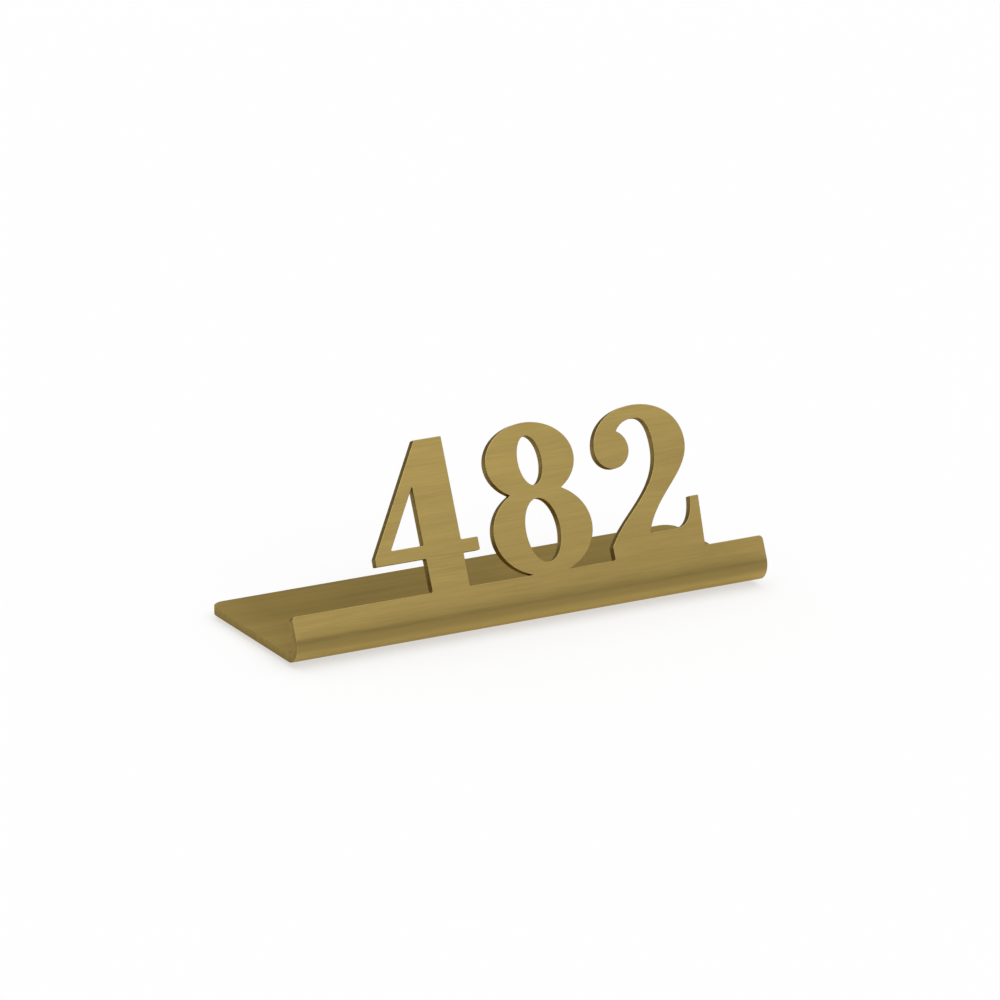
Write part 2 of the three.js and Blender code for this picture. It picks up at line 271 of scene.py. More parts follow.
class StudioLook(bpy.types.PropertyGroup):
    """Camera, floor and light."""

    camera_azimuth: angle("Camera azimuth", "Camera to the right of the front of the sign", -28.868)
    camera_elevation: angle("Camera elevation", "Camera above the horizon", 17.88)
    camera_distance: length("Camera distance", "From the camera to its target", 1445.1)
    camera_target: FloatVectorProperty(
        name="Camera target",
        description="Point in the middle of the picture",
        default=(-9.352 * MM, PLATE_LOW.y, 31.808 * MM),
        subtype="XYZ",
        unit="LENGTH",
    )
    focal_length: length("Focal length", f"Lens, for a sensor {SENSOR_WIDTH} mm wide", 235.5)
    floor: colour("Floor", "Plain white floor", (0.93, 0.93, 0.93))
    floor_radius: length("Floor radius", "Size of the round floor", 4000)
    floor_glow: share("Floor glow", "Share of pure white in the floor that is seen or mirrored", 0.6)
    horizon_light: strength("Horizon light", "Brightness all round the studio", 0.343)
    key_light: strength("Key light", "Brightness added by the soft light in front", 1.7)
    key_azimuth: angle("Key azimuth", "Middle of that light, to the right of the front", 4)
    key_elevation: angle("Key elevation", "Middle of that light, above the horizon", 42)
    key_spread: angle("Key spread", "From the middle of that light to its rim", 30)
    top_light: strength("Top light", "Brightness added by the soft light overhead", 1.0)
    top_spread: angle("Top spread", "From the middle of that light to its rim", 74)


class Wire:
    """An output of a shader tree, on which Python's arithmetic works.

    On a value it adds Math nodes, and on a vector it adds Vector Math nodes.
    """

    def __init__(self, tree, socket):
        self.tree = tree
        self.socket = socket

    def combine(self, operation, first, second):
        """The node that joins two values or two vectors by one operation."""
        kind = "ShaderNodeMath" if self.socket.type == "VALUE" else "ShaderNodeVectorMath"
        return self.tree.add(kind, {"operation": operation}, {0: first, 1: second})

    def __add__(self, other):
        return self.combine("ADD", self, other)

    def __radd__(self, other):
        return self.combine("ADD", other, self)

    def __sub__(self, other):
        return self.combine("SUBTRACT", self, other)

    def __rsub__(self, other):
        return self.combine("SUBTRACT", other, self)

    def __mul__(self, other):
        return self.combine("MULTIPLY", self, other)

    def __rmul__(self, other):
        return self.combine("MULTIPLY", other, self)

    def __abs__(self):
        return self.tree.add("ShaderNodeMath", {"operation": "ABSOLUTE"}, {0: self})

    def clamped(self):
        """The value kept between 0 and 1."""
        return self.tree.add("ShaderNodeClamp", {}, {"Value": self})

    def part(self, axis):
        """One axis of a vector, as a value."""
        return self.tree.add("ShaderNodeSeparateXYZ", {}, {"Vector": self}, axis)


class ShaderTree:
    """The node tree of a material or world, emptied and built up again."""

    def __init__(self, owner):
        owner.use_nodes = True
        self.owner = owner
        self.node_tree = owner.node_tree
        self.node_tree.nodes.clear()

    def add(self, kind, settings, sockets, output=0):
        """Adds a node, sets it up, gives its sockets values or links, and returns one output."""
        node = self.node_tree.nodes.new(kind)
        for name, value in settings.items():
            setattr(node, name, value)
        for name, value in sockets.items():
            socket = node.inputs[name]
            if isinstance(value, Wire):
                self.node_tree.links.new(value.socket, socket)
            elif socket.type == "RGBA":
                socket.default_value = (*value, 1.0)
            else:
                socket.default_value = value
        return Wire(self, node.outputs[output]) if node.outputs else None

    def attribute(self, name, output):
        """A value or vector that the mesh carries at each vertex."""
        return self.add("ShaderNodeAttribute", {"attribute_name": name}, {}, output)

    def noise(self, place, grain):
        """Soft noise with the given grain, from -0.5 to 0.5."""
        scale = Vector(grain.per_mm / MM / factor for factor in grain.stretch)
        sockets = {
            "Vector": place * scale,
            "Scale": 1.0,
            "Detail": grain.detail,
            "Roughness": NOISE_ROUGHNESS,
        }
        return self.add("ShaderNodeTexNoise", {"noise_dimensions": "3D"}, sockets, "Fac") - 0.5

    def mix(self, factor, first, second):
        """A colour between two colours."""
        sockets = {"Factor": factor, MIX_FIRST: first, MIX_SECOND: second}
        return self.add("ShaderNodeMix", {"data_type": "RGBA"}, sockets, MIX_RESULT)

    def bump(self, height, depth):
        """A normal from a height, where a step of 1 stands out by depth."""
        return self.add("ShaderNodeBump", {}, {"Height": height, "Distance": depth, "Strength": 1.0})

    def surface(self, sockets):
        """Gives the material a Principled surface, and returns the material."""
        shader = self.add("ShaderNodeBsdfPrincipled", {}, sockets)
        self.add("ShaderNodeOutputMaterial", {}, {"Surface": shader})
        return self.owner


def brushed_brass(look, sheet):
    """The faces: grain brushed along the flat blank, rims worn bright, a dark reflection painted on the
    bend, painted shade towards the fold and painted light at both ends.
    """
    tree = ShaderTree(bpy.data.materials.new("brushed_brass"))
    blank = tree.attribute("blank", "Vector")
    up = blank.part("Y")
    hairs = tree.noise(blank, HAIRS)
    scratches = tree.noise(blank, SCRATCHES)
    strokes = tree.noise(blank, STROKES)
    bands = tree.noise(blank, BANDS)
    clouds = tree.noise(blank, CLOUDS)

    # 1 on the face outside the fold and 0 on the face inside it
    outside = (1 + blank.part("Z") * (2 / sheet.thickness)).clamped()

    # Painted dark reflection: the outside of the bend is painted darker all along the line that ends up
    # facing forward, in place of the dark surroundings that it mirrors.
    off_reflection = (up + look.reflection_drop) * (1 / look.reflection_reach)
    near_reflection = (1 - off_reflection * off_reflection).clamped()
    mark = outside * (1 + look.reflection_streaks * scratches) * near_reflection * near_reflection

    # Painted light: lighter near both ends of the sheet, most inside the fold.
    end_light_start = sheet.width / 2 - look.end_light_reach
    near_end = ((abs(blank.part("X")) - end_light_start) * (1 / look.end_light_reach)).clamped()
    lightened = near_end * (1 - (1 - look.outer_end_light) * outside)
    # Painted shade: 0 from the set height up the upright, 1 at the fold and over the base.
    fold_shaded = 1 - (up * (1 / look.fold_shade_height)).clamped()
    worn = tree.attribute("rim", "Fac") * (look.rim_wear + look.rim_patches * scratches)

    band_tone = look.inner_bands - (look.inner_bands - look.outer_bands) * outside
    tone = look.tone + look.hair_tone * hairs + look.scratch_tone * scratches
    tone = tone + look.stroke_tone * strokes + look.cloud_tone * clouds + band_tone * bands
    # Painted light near both ends and painted shade towards the fold.
    tone = tone + look.painted_end_light * lightened - look.darkening * fold_shaded
    brass = tree.mix(tone.clamped(), look.dark, look.light)
    # Painted dark reflection on the bend.
    brass = tree.mix((look.reflection_share * mark).clamped(), brass, look.mark)
    roughness = look.roughness + look.hair_roughness * hairs + look.cloud_roughness * clouds
    grain = look.hair_share * hairs + (1 - look.hair_share) * scratches
    return tree.surface({
        "Base Color": tree.mix(look.rim_tint * worn, brass, look.rim),
        "Metallic": 1.0,
        "Roughness": roughness - look.rim_polish * worn,
        "Specular Tint": look.grazing,
        "Normal": tree.bump(grain, look.grain_depth),
    })


def cut_edge(look, sheet):
    """The cut edges: browned by the heat of the cut, with fine drag lines, and linished at the lip."""
    tree = ShaderTree(bpy.data.materials.new("cut_edge"))
    blank = tree.attribute("blank", "Vector")
    drag_lines = tree.noise(blank, DRAG_LINES)
    heat = tree.noise(blank, HEAT)
    linished = ((sheet.lip_height - blank.part("Y")) * (1 / look.linish_fade)).clamped()
    toward_front = 0.5 + blank.part("Z") * (1 / sheet.thickness)  # from -0.5 at the back to 0.5 in front
    tone = look.edge_tone + look.drag_tone * drag_lines + look.heat_tone * heat
    # Darker towards the outer face: the front of the upright and the underside of the base.
    tone = tone + look.linish * linished - look.edge_front_dimming * toward_front
    browned = tree.mix(tone.clamped(), look.edge_dark, look.edge_light)
    worn = look.edge_wear * tree.attribute("rim", "Fac")
    return tree.surface({
        "Base Color": tree.mix(worn, browned, look.light),
        "Metallic": 1.0,
        "Roughness": look.edge_roughness + look.drag_roughness * drag_lines,
        "Specular Tint": look.grazing,
        "Normal": tree.bump(drag_lines, look.drag_depth),
    })


def pad_rubber(look):
    """Matt die-cut rubber with a fine tooth and a little dust."""
    tree = ShaderTree(bpy.data.materials.new("pad_rubber"))
    place = tree.add("ShaderNodeTexCoord", {}, {}, "Object")
    dust = tree.noise(place, DUST)
    dusty = (look.dust + DUST_CONTRAST * dust).clamped()
    return tree.surface({
        "Base Color": tree.mix(dusty, look.rubber, look.rubber_dust),
        "Roughness": look.rubber_roughness + look.dust_roughness * dust,
        "Normal": tree.bump(tree.noise(place, TOOTH), look.tooth_depth),
    })


def adhesive_film(look):
    """The clear film that holds a pad, cloudy where it has bedded down."""
    tree = ShaderTree(bpy.data.materials.new("adhesive_film"))
    place = tree.add("ShaderNodeTexCoord", {}, {}, "Object")
    clouds = tree.noise(place, FILM_CLOUDS)
    return tree.surface({
        "Base Color": tree.mix(0.5 + clouds, look.cloudy_film, look.film),
        "Roughness": look.film_roughness + look.cloud_roughness * clouds,
    })


def bezier(points, portion):
    """The point at a portion of the way along the curve with these handles."""
    while len(points) > 1:
        points = [first.lerp(second, portion) for first, second in zip(points, points[1:])]
    return points[0]


class CutLine:
    """A closed cut through the blank, drawn from point to point with the sheet on its right."""

    def __init__(self, x, y):
        self.points = [Vector((x, y))]

    def trace(self, steps, place):
        """Adds a point for each step, where place gives the point at a portion of the way."""
        self.points += [place(step / steps) for step in range(1, steps + 1)]

    def line_to(self, x, y, steps=None):
        """Adds a straight line, in as many steps as are given or as it needs."""
        start = self.points[-1]
        end = Vector((x, y))
        steps = steps or math.ceil((end - start).length / LINE_STEP)
        self.trace(steps, lambda portion: start.lerp(end, portion))

    def curve_to(self, *handles):
        """Adds a curve that ends at the last of its handles."""
        points = [self.points[-1], *(Vector(handle) for handle in handles)]
        span = sum((second - first).length for first, second in zip(points, points[1:]))
        self.trace(math.ceil(span / CURVE_STEP), lambda portion: bezier(points, portion))

    def arc(self, centre, half_width, half_height, start, end):
        """Adds an arc of an ellipse between two angles, and a line to its start if there is a gap."""

        def place(portion):
            turn = start + portion * (end - start)
            return Vector(centre) + Vector((half_width * math.cos(turn), half_height * math.sin(turn)))

        if (place(0) - self.points[-1]).length > SAME_PLACE:
            self.line_to(*place(0))
        span = abs(end - start) * max(half_width, half_height)
        self.trace(math.ceil(max(span / CURVE_STEP, abs(end - start) / ARC_STEP)), place)

    def closed(self):
        """The points of the cut, each of them once."""
        returned = (self.points[-1] - self.points[0]).length < SAME_PLACE
        return self.points[:-1] if returned else self.points


class Blank:
    """The flat sheet: u along the sign, v up the upright from the bend, w out of its front."""

    def __init__(self, sheet, numerals):
        self.sheet = sheet
        self.numerals = numerals
        self.end = sheet.width / 2
        self.outer_radius = sheet.bend_radius + sheet.thickness
        self.middle_radius = sheet.bend_radius + sheet.thickness / 2
        self.bend_length = (math.pi / 2 + sheet.lean) * self.middle_radius
        self.back = -self.bend_length - (sheet.depth - self.outer_radius)
        self.bend_centre = Vector((0, PLATE_LOW.y + self.outer_radius, PLATE_LOW.z + self.outer_radius))
        self.top = (PLATE_HIGH.z - self.fold(Vector((0, 0, 0))).z) / math.cos(sheet.lean)
        self.four_width = numerals.four_reach + numerals.stem + numerals.crossbar_overhang
        self.eight_width = numerals.lower_counter + 2 * numerals.bowl
        self.eight_upper_width = numerals.upper_counter + 2 * numerals.bowl
        self.two_width = (
            2 * numerals.ball_radius + numerals.two_aperture + numerals.bowl + numerals.tail_slant
        )
        row_width = self.four_width + self.eight_width + self.two_width + 2 * numerals.gap
        self.four_left = numerals.row_offset - row_width / 2
        self.eight_left = self.four_left + self.four_width + numerals.gap
        self.two_left = self.eight_left + self.eight_width + numerals.gap

    def turned(self, vector, height, ease=0.0):
        """A vector of the flat sheet at some height, once it is folded.

        The bend begins and ends softly, over the ease on each side of its two ends.
        """

        def ramp(distance):
            """How far a place is past one end of the bend."""
            if abs(distance) < ease:
                return (distance + ease) ** 2 / (4 * ease)
            return max(distance, 0.0)

        bent = ramp(height + self.bend_length) - ramp(height)
        rise = bent / self.middle_radius - math.pi / 2
        y = vector.y * math.sin(rise) - vector.z * math.cos(rise)
        z = vector.y * math.cos(rise) + vector.z * math.sin(rise)
        return Vector((vector.x, y, z))

    def fold(self, point):
        """Where a point of the flat sheet lies once it is folded."""
        past_bend = max(point.y, 0) + min(point.y + self.bend_length, 0)
        arm = Vector((point.x, past_bend, self.outer_radius + point.z))
        return self.bend_centre + self.turned(arm, point.y)

    def trace_four(self, edge):
        """Adds the edge of the 4, from the left foot of its stem on, and returns its opening."""
        sizes = self.numerals
        lip = self.sheet.lip_height
        left = self.four_left
        stem_left = left + sizes.four_reach
        stem_right = stem_left + sizes.stem
        right = left + self.four_width
        bar_bottom = lip + sizes.crossbar_height
        bar_top = bar_bottom + sizes.hairline
        tip_top = bar_bottom + sizes.four_tip
        top_left = stem_left + sizes.four_top_inset
        for corner in (
            (stem_left, lip),
            (stem_left, bar_bottom),
            (left, bar_bottom),
            (left, tip_top),
            (top_left, self.top),
            (stem_right, self.top),
            (stem_right, bar_top),
            (right, bar_top),
            (right, bar_bottom),
            (stem_right, bar_bottom),
            (stem_right, lip),
        ):
            edge.line_to(*corner)
        slope = (self.top - tip_top) / (top_left - left)
        counter_left = left + (bar_top - tip_top) / slope + sizes.hairline * math.hypot(1, 1 / slope)
        counter = CutLine(counter_left, bar_top)
        counter.line_to(stem_left, bar_top)
        counter.line_to(stem_left, bar_top + slope * (stem_left - counter_left))
        counter.line_to(counter_left, bar_top)
        return [counter]

    def bowl_of_eight(self, half_width, tip, waist):
        """Centre height and half height of the ellipse from a tip through both ends of the waist."""
        half_waist = self.eight_upper_width / 2 - self.numerals.waist_notch
        bulge = math.sqrt(1 - (half_waist / half_width) ** 2)
        half_height = abs(waist - tip) / (1 + bulge)
        return tip + math.copysign(half_height, waist - tip), half_height

    def trace_eight(self, edge):
        """Adds the edge of the 8 and returns its openings.

        It is two ellipses, one sunk in the lip and one at the top, that cross at its waist.
        """
        sizes = self.numerals
        middle = self.eight_left + self.eight_width / 2
        bottom = self.sheet.lip_height - sizes.eight_sink
        waist = self.sheet.lip_height + sizes.waist_height
        lower_half = self.eight_width / 2
        upper_half = self.eight_upper_width / 2
        lower_centre, lower_height = self.bowl_of_eight(lower_half, bottom, waist)
        upper_centre, upper_height = self.bowl_of_eight(upper_half, self.top, waist)
        foot = math.asin((self.sheet.lip_height - lower_centre) / lower_height)
        lower_waist = math.asin((waist - lower_centre) / lower_height)
        upper_waist = math.asin((waist - upper_centre) / upper_height)
        lower = ((middle, lower_centre), lower_half, lower_height)
        upper = ((middle, upper_centre), upper_half, upper_height)
        edge.arc(*lower, math.pi - foot, math.pi - lower_waist)
        edge.arc(*upper, math.pi - upper_waist, upper_waist)
        edge.arc(*lower, lower_waist, foot)
        half_line = sizes.hairline / 2
        return [
            self.oval(middle, sizes.lower_counter, bottom + sizes.hairline, waist - half_line),
            self.oval(middle, sizes.upper_counter, waist + half_line, self.top - sizes.hairline),
        ]

    @staticmethod
    def oval(middle, width, low, high):
        """An oval opening."""
        opening = CutLine(middle + width / 2, (low + high) / 2)
        opening.arc((middle, (low + high) / 2), width / 2, (high - low) / 2, 0, 2 * math.pi)
        return opening

    def trace_two(self, edge):
        """Adds the edge of the 2, which has no opening.

        It sweeps from a ball over its crown and down its heavy bowl to a flat foot with a raised tail.
        The handles of its curves lie at shares of its width and height.
        """
        sizes = self.numerals
        lip = self.sheet.lip_height
        left = self.two_left
        right = left + self.two_width

        def across(portion):
            return left + portion * self.two_width

        def above(portion):
            return lip + portion * (self.top - lip)

        bowl_right = right - sizes.tail_slant
        bowl_left = bowl_right - sizes.bowl
        bowl_middle = above(0.72)
        crown = across(0.48)
        under_crown = self.top - sizes.hairline
        ball = Vector((left + sizes.ball_radius, self.top - sizes.ball_drop))
        neck = ball + sizes.ball_radius * Vector((math.cos(sizes.neck), math.sin(sizes.neck)))
        foot_top = lip + sizes.foot_height
        tail_top = lip + sizes.tail_height
        edge.line_to(left, lip)
        edge.line_to(left, lip + sizes.hairline)
        edge.curve_to((across(0.22), above(0.32)), (bowl_left, above(0.42)), (bowl_left, bowl_middle))
        edge.curve_to((bowl_left, above(0.85)), (across(0.58), under_crown), (crown, under_crown))
        edge.curve_to((across(0.34), under_crown), neck)
        edge.arc(ball, sizes.ball_radius, sizes.ball_radius, sizes.neck, -math.pi)
        edge.curve_to((left, above(0.88)), (across(0.2), self.top), (crown, self.top))
        edge.curve_to((across(0.78), self.top), (bowl_right, above(0.88)), (bowl_right, bowl_middle))
        edge.curve_to((bowl_right, above(0.5)), (across(0.56), above(0.4)), (across(0.42), foot_top))
        edge.line_to(across(0.71), foot_top)
        edge.curve_to((across(0.88), foot_top), (right - sizes.tail_width, tail_top))
        edge.line_to(right, tail_top)
        edge.line_to(bowl_right, lip)
        return []

    def cuts(self):
        """The outer edge of the blank and the openings in its numerals, as lists of points."""
        sheet = self.sheet
        lip_x = self.end - sheet.lip_corner
        lip_y = sheet.lip_height - sheet.lip_corner
        base_x = self.end - sheet.base_corner
        base_y = self.back + sheet.base_corner
        outer = CutLine(-self.end, base_y)
        outer.line_to(-self.end, -self.bend_length)
        outer.line_to(-self.end, 0, BEND_ROWS)
        outer.arc((-lip_x, lip_y), sheet.lip_corner, sheet.lip_corner, math.pi, math.pi / 2)
        openings = [*self.trace_four(outer), *self.trace_eight(outer), *self.trace_two(outer)]
        outer.arc((lip_x, lip_y), sheet.lip_corner, sheet.lip_corner, math.pi / 2, 0)
        outer.line_to(self.end, 0)
        outer.line_to(self.end, -self.bend_length, BEND_ROWS)
        outer.arc((base_x, base_y), sheet.base_corner, sheet.base_corner, 0, -math.pi / 2)
        outer.arc((-base_x, base_y), sheet.base_corner, sheet.base_corner, -math.pi / 2, -math.pi)
        return [ease_corners(cut.closed(), sheet.eased_corner) for cut in (outer, *openings)]

    def grid(self):
        """Columns and rows of the points inside the faces, with a row at each step of the bend."""
        columns = even_steps(-self.end, self.end, GRID_STEP)
        rows = even_steps(self.top, 0, GRID_STEP)
        rows += [-self.bend_length * row / BEND_ROWS for row in range(BEND_ROWS + 1)]
        rows += even_steps(-self.bend_length, self.back, GRID_STEP)
        return columns, rows


def neighbours(points):
    """Each point of a closed line with the one before it and the one after it."""
    return zip(points[-1:] + points[:-1], points, points[1:] + points[:1])


def ease_corners(points, radius):
    """Rounds each sharp corner of a closed line, as a cutting beam leaves it."""
    eased = []
    for before, corner, after in neighbours(points):
        arrive = corner - before
        leave = after - corner
        turn = arrive.angle(leave)
        if turn < SHARP_TURN:
            eased.append(corner)
            continue
        room = CORNER_SHARE * min(arrive.length, leave.length)
        reach = min(radius * math.tan(turn / 2), room)
        handles = [corner - reach * arrive.normalized(), corner, corner + reach * leave.normalized()]
        eased += [bezier(handles, step / CORNER_STEPS) for step in range(CORNER_STEPS + 1)]
    return eased


def edge_normals(points):
    """The way out of the sheet, which lies on the right, at each point of a closed line."""
    normals = []
    for before, point, after in neighbours(points):
        along = (point - before).normalized() + (after - point).normalized()
        normals.append(Vector((-along.y, along.x)).normalized())
    return normals


def inset(points, distance):
    """A closed line moved into the sheet."""
    return [point - distance * normal for point, normal in zip(points, edge_normals(points))]


def even_steps(start, end, most):
    """Values from start to end, both left out, in equal steps of at most that size."""
    count = math.ceil(abs(end - start) / most)
    return [start + (end - start) * step / count for step in range(1, count)]


def grid_inside(lines, columns, rows):
    """The points of a grid that lie inside closed lines and clear of them."""
    corners = [point for line in lines for point in line]
    near = KDTree(len(corners))
    for index, point in enumerate(corners):
        near.insert(point.to_3d(), index)
    near.balance()
    sides = [side for line in lines for side in zip(line, line[1:] + line[:1])]
    kept = []
    for v in rows:
        crossings = []
        for first, second in sides:
            if (first.y <= v) != (second.y <= v):
                crossings.append(first.lerp(second, (v - first.y) / (second.y - first.y)).x)
        for u in columns:
            inside = sum(crossing < u for crossing in crossings) % 2
            _, _, distance = near.find((u, v, 0))
            if inside and distance > GRID_MARGIN:
                kept.append(Vector((u, v)))
    return kept


def loop(start, count):
    """The sides of a closed row of corners, each from one corner to the next."""
    return [(start + step, start + (step + 1) % count) for step in range(count)]


def band(start, count, ring):
    """The faces between a closed row of corners and the same row one ring further on."""
    return [(here, there, there + ring, here + ring) for here, there in loop(start, count)]


def circle(centre, radius, height, steps):
    """The corners of a level circle."""
    corners = []
    for step in range(steps):
        turn = 2 * math.pi * step / steps
        x = centre.x + radius * math.cos(turn)
        y = centre.y + radius * math.sin(turn)
        corners.append((x, y, height))
    return corners


def new_piece(name, places, faces, materials, slots):
    """A smooth mesh object from corners and faces, with its materials and the slot of each face."""
    mesh = bpy.data.meshes.new(name)
    mesh.from_pydata(places, [], faces)
    for material in materials:
        mesh.materials.append(material)
    mesh.polygons.foreach_set("material_index", slots)
    mesh.shade_smooth()
    if mesh.validate():
        raise RuntimeError(f"{name} has faces that can't be made")
    piece = bpy.data.objects.new(name, mesh)
    bpy.context.scene.collection.objects.link(piece)
    return piece


def edge_profile(radius, thickness):
    """Inset, depth and slopes of the rows round an edge with two eased rims, from front to back."""
    front = []
    for turn in EDGE_TURNS:
        out = math.sin(turn)
        up = math.cos(turn)
        front.append((radius * (1 - out), radius * (up - 1), out, up))
    back = [(distance, -thickness - depth, out, -up) for distance, depth, out, up in reversed(front)]
    return front + back


def face_triangles(lines, inner):
    """Triangles that fill the first line, but not the openings in it, through the inner points."""
    points = []
    border = []
    line_of = []
    for index, line in enumerate(lines):
        border += loop(len(points), len(line))
        points += line
        line_of += [index] * len(line)
    points += inner
    line_of += [0] * len(inner)
    merged, _, triangles, *_ = delaunay_2d_cdt(points, border, [], INSIDE_ONLY, MERGE_DISTANCE)
    if len(merged) != len(points):
        raise RuntimeError("the cuts of the blank cross each other")
    # An opening bulges all round, so a triangle with every corner on it lies in the hole.
    solid = []
    for triangle in triangles:
        around = {line_of[corner] for corner in triangle}
        if around == {0} or len(around) > 1:
            solid.append(triangle)
    return solid


class FlatMesh:
    """The mesh of the sheet before it is folded."""

    def __init__(self, cuts):
        self.cuts = cuts
        self.ring = sum(len(cut) for cut in cuts)
        self.places = []
        self.slopes = []
        self.rim = []
        self.faces = []
        self.slots = []

    def add_corner(self, place, depth, slope, rim):
        """Adds a corner, with the way that the surface faces there and how much of a rim it is."""
        self.places.append(Vector((*place, depth)))
        self.slopes.append(Vector(slope))
        self.rim.append(rim)

    def add_edges(self, profile):
        """Adds the edge along every cut, with the profile that it has from front to back."""
        for distance, depth, out, up in profile:
            rim = 2 * out * abs(up)  # strongest midway round an eased edge
            for cut in self.cuts:
                for point, normal in zip(cut, edge_normals(cut)):
                    self.add_corner(point - distance * normal, depth, (*(out * normal), up), rim)
        levels = len(profile) - 1
        for level in range(levels):
            brushed = min(level, levels - 1 - level) < BRUSHED_STEPS
            start = level * self.ring
            for cut in self.cuts:
                self.faces += band(start, len(cut), self.ring)
                self.slots += [FACE_SLOT if brushed else EDGE_SLOT] * len(cut)
                start += len(cut)

    def add_face(self, first_corner, depth, up, inner, triangles):
        """Adds one face of the sheet, from the corners along its cuts through the inner points."""
        first_inner = len(self.places) - self.ring
        for point in inner:
            self.add_corner(point, depth, (0, 0, up), 0.0)
        for triangle in triangles:
            corners = [
                corner + (first_corner if corner < self.ring else first_inner) for corner in triangle
            ]
            self.faces.append(tuple(corners[::up]))
            self.slots.append(FACE_SLOT)


def folded_sheet(blank, materials):
    """The brass sheet, with every edge of its two faces eased, meshed flat and then folded."""
    sheet = blank.sheet
    cuts = blank.cuts()
    flat = FlatMesh(cuts)
    flat.add_edges(edge_profile(sheet.eased_edge, sheet.thickness))
    back_corner = len(flat.places) - flat.ring
    lines = [inset(cut, sheet.eased_edge) for cut in cuts]
    inner = grid_inside(lines, *blank.grid())
    triangles = face_triangles(lines, inner)
    flat.add_face(0, 0.0, 1, inner, triangles)
    flat.add_face(back_corner, -sheet.thickness, -1, inner, triangles)

    folded = [blank.fold(place) for place in flat.places]
    normals = [
        blank.turned(slope, place.y, sheet.bend_ease) for place, slope in zip(flat.places, flat.slopes)
    ]
    piece = new_piece("folded_brass_sheet", folded, flat.faces, materials, flat.slots)
    mesh = piece.data
    blank_places = mesh.attributes.new("blank", "FLOAT_VECTOR", "POINT")
    blank_places.data.foreach_set("vector", [value for place in flat.places for value in place])
    mesh.attributes.new("rim", "FLOAT", "POINT").data.foreach_set("value", flat.rim)
    mesh.normals_split_custom_set_from_vertices(normals)
    return piece


def rubber_pad(place, look, materials):
    """A disc of rubber with a rounded lower rim, and its adhesive film up to the brass."""
    low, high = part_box(f"pad_{place}")
    centre = (low + high) / 2
    radius = (high.x - low.x) / 2
    film_radius = radius - look.film_inset
    profile = [(radius * ring, low.z) for ring in PAD_RINGS]
    for step in range(PAD_RIM_STEPS + 1):
        turn = math.pi / 2 * step / PAD_RIM_STEPS
        inward = look.edge_radius * (1 - math.sin(turn))
        upward = look.edge_radius * (1 - math.cos(turn))
        profile.append((radius - inward, low.z + upward))
    profile += [(radius, high.z), (film_radius, high.z)]
    film_from = len(profile) - 1
    profile += [(film_radius, PLATE_LOW.z)]
    profile += [(radius * ring, PLATE_LOW.z) for ring in reversed(PAD_RINGS)]

    places = []
    for distance, height in profile:
        places += circle(centre, distance, height, PAD_STEPS)
    faces = []
    slots = []
    for level in range(len(profile) - 1):
        faces += band(level * PAD_STEPS, PAD_STEPS, PAD_STEPS)
        slots += [FILM_SLOT if level >= film_from else RUBBER_SLOT] * PAD_STEPS
    bottom = len(places)
    top = bottom + 1
    places += [(centre.x, centre.y, low.z), (centre.x, centre.y, PLATE_LOW.z)]
    faces += [(bottom, there, here) for here, there in loop(0, PAD_STEPS)]
    faces += [(top, here, there) for here, there in loop(bottom - PAD_STEPS, PAD_STEPS)]
    slots += [RUBBER_SLOT] * PAD_STEPS + [FILM_SLOT] * PAD_STEPS
    pad = new_piece(f"rubber_pad_{place}", places, faces, materials, slots)
    even = pad.modifiers.new("Even normals", "WEIGHTED_NORMAL")
    even.mode = "FACE_AREA"
    return pad


def towards(azimuth, elevation):
    """The direction that lies so far to the right of the front and so far above the horizon."""
    level = math.cos(elevation)
    return Vector((math.sin(azimuth) * level, -math.cos(azimuth) * level, math.sin(elevation)))


def studio_floor(look):
    """A round white floor, whitened further where it is seen or mirrored, so its shadow is faint."""
    tree = ShaderTree(bpy.data.materials.new("studio_floor"))
    paper = tree.add("ShaderNodeBsdfDiffuse", {}, {"Color": look.floor})
    white = tree.add("ShaderNodeEmission", {}, {"Color": WHITE, "Strength": 1.0})
    camera, glossy, transmission = (
        tree.add("ShaderNodeLightPath", {}, {}, f"Is {kind} Ray")
        for kind in ("Camera", "Glossy", "Transmission")
    )
    glow = look.floor_glow * (camera + glossy + transmission).clamped()
    shader = tree.add("ShaderNodeMixShader", {}, {0: glow, 1: paper, 2: white})
    tree.add("ShaderNodeOutputMaterial", {}, {"Surface": shader})
    places = circle(Vector((0, 0)), look.floor_radius, 0.0, FLOOR_STEPS)
    floor = new_piece("studio_floor", places, [tuple(range(FLOOR_STEPS))], [tree.owner], [0])


def studio_light(look):
    """A soft dome of light: dim all round, with one broad light in front and one overhead."""
    tree = ShaderTree(bpy.data.worlds.new("studio_light"))
    bpy.context.scene.world = tree.owner
    direction = tree.add("ShaderNodeTexCoord", {}, {}, "Generated")

    def glow(middle, spread):
        """Brightness that falls softly from 1 in the middle of a light to 0 at its rim."""
        rim = math.cos(spread)
        dot = {"operation": "DOT_PRODUCT"}
        facing = tree.add("ShaderNodeVectorMath", dot, {0: direction, 1: middle}, "Value")
        near = ((facing - rim) * (1 / (1 - rim))).clamped()
        return near * near * (3 - 2 * near)

    key = glow(towards(look.key_azimuth, look.key_elevation), look.key_spread)
    top = glow(Vector((0, 0, 1)), look.top_spread)
    brightness = look.horizon_light + look.key_light * key + look.top_light * top
    background = tree.add("ShaderNodeBackground", {}, {"Color": WHITE, "Strength": brightness})
    tree.add("ShaderNodeOutputWorld", {}, {"Surface": background})


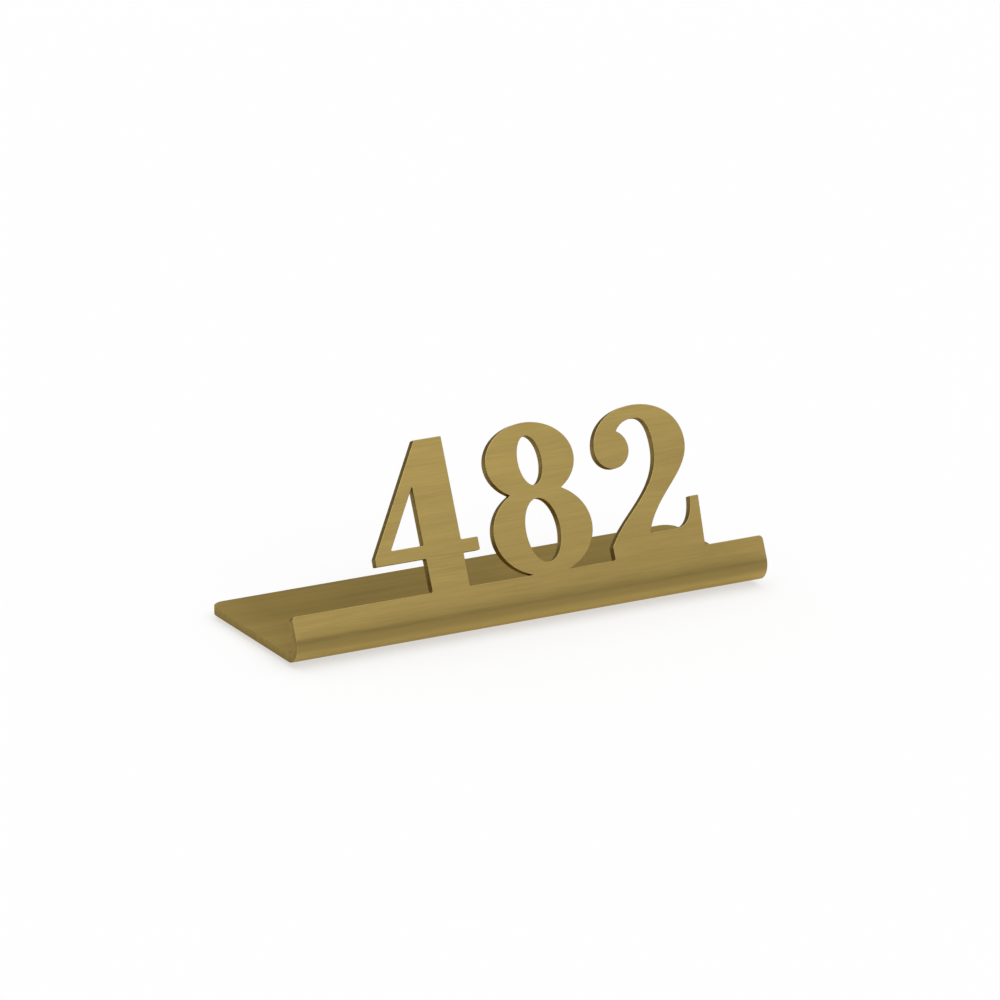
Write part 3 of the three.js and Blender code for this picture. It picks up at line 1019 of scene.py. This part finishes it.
def studio_camera(look):
    """A long lens at the angle of the picture."""
    lens = bpy.data.cameras.new("studio_camera")
    lens.sensor_width = SENSOR_WIDTH
    lens.lens = look.focal_length / MM
    lens.clip_start = NEAREST_SEEN
    lens.clip_end = FARTHEST_SEEN
    camera = bpy.data.objects.new("studio_camera", lens)
    back = towards(look.camera_azimuth, look.camera_elevation)
    camera.location = Vector(look.camera_target) + look.camera_distance * back
    camera.rotation_euler = (-back).to_track_quat("-Z", "Y").to_euler()
    bpy.context.scene.collection.objects.link(camera)
    bpy.context.scene.camera = camera


class TABLE_NUMBER_OT_fold_sheet(bpy.types.Operator):
    """Cut the numerals in the brass sheet and fold it"""

    bl_idname = "table_number.fold_sheet"
    bl_label = "Fold the Brass Sheet"

    def execute(self, context):
        scene = context.scene
        sheet = scene.sign_sheet
        brass = scene.sign_brass
        materials = [brushed_brass(brass, sheet), cut_edge(brass, sheet)]
        piece = folded_sheet(Blank(sheet, scene.sign_numerals), materials)
        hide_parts("sign_plate")
        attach(piece, "root")
        return {"FINISHED"}


class TABLE_NUMBER_OT_stick_pads(bpy.types.Operator):
    """Stick the four rubber pads under the base"""

    bl_idname = "table_number.stick_pads"
    bl_label = "Stick the Rubber Pads"

    def execute(self, context):
        look = context.scene.sign_pads
        materials = [pad_rubber(look), adhesive_film(look)]
        for place in PAD_PLACES:
            pad = rubber_pad(place, look, materials)
            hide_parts(f"pad_{place}")
            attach(pad, "root")
        return {"FINISHED"}


class TABLE_NUMBER_OT_set_studio(bpy.types.Operator):
    """Set the white floor, the soft light and the camera"""

    bl_idname = "table_number.set_studio"
    bl_label = "Set the Studio"

    def execute(self, context):
        look = context.scene.sign_studio
        context.scene.view_settings.view_transform = "Standard"
        studio_floor(look)
        studio_light(look)
        studio_camera(look)
        return {"FINISHED"}


class TABLE_NUMBER_PT_panel(bpy.types.Panel):
    """Lists the steps and the settings of the sign"""

    bl_idname = "TABLE_NUMBER_PT_panel"
    bl_label = "Table Number"
    bl_space_type = "VIEW_3D"
    bl_region_type = "UI"
    bl_category = "Table Number"

    def draw(self, context):
        for operator in OPERATORS:
            self.layout.operator(operator.bl_idname)
        for name in GROUPS:
            group = getattr(context.scene, name)
            box = self.layout.box()
            box.label(text=group.bl_rna.name)
            for size in group.bl_rna.properties:
                if size.identifier not in ("name", "rna_type"):
                    box.prop(group, size.identifier)


GROUPS = {
    "sign_sheet": SheetSizes,
    "sign_numerals": NumeralSizes,
    "sign_brass": BrassFinish,
    "sign_pads": PadLook,
    "sign_studio": StudioLook,
}
OPERATORS = (TABLE_NUMBER_OT_fold_sheet, TABLE_NUMBER_OT_stick_pads, TABLE_NUMBER_OT_set_studio)
CLASSES = (*GROUPS.values(), *OPERATORS, TABLE_NUMBER_PT_panel)


def register():
    for made in CLASSES:
        bpy.utils.register_class(made)
    for name, group in GROUPS.items():
        setattr(bpy.types.Scene, name, PointerProperty(type=group))


def unregister():
    for name in GROUPS:
        delattr(bpy.types.Scene, name)
    for made in reversed(CLASSES):
        bpy.utils.unregister_class(made)


def main():
    """Makes the sign and its studio."""
    register()
    bpy.ops.table_number.fold_sheet()
    bpy.ops.table_number.stick_pads()
    bpy.ops.table_number.set_studio()


if __name__ == "__main__":
    main()
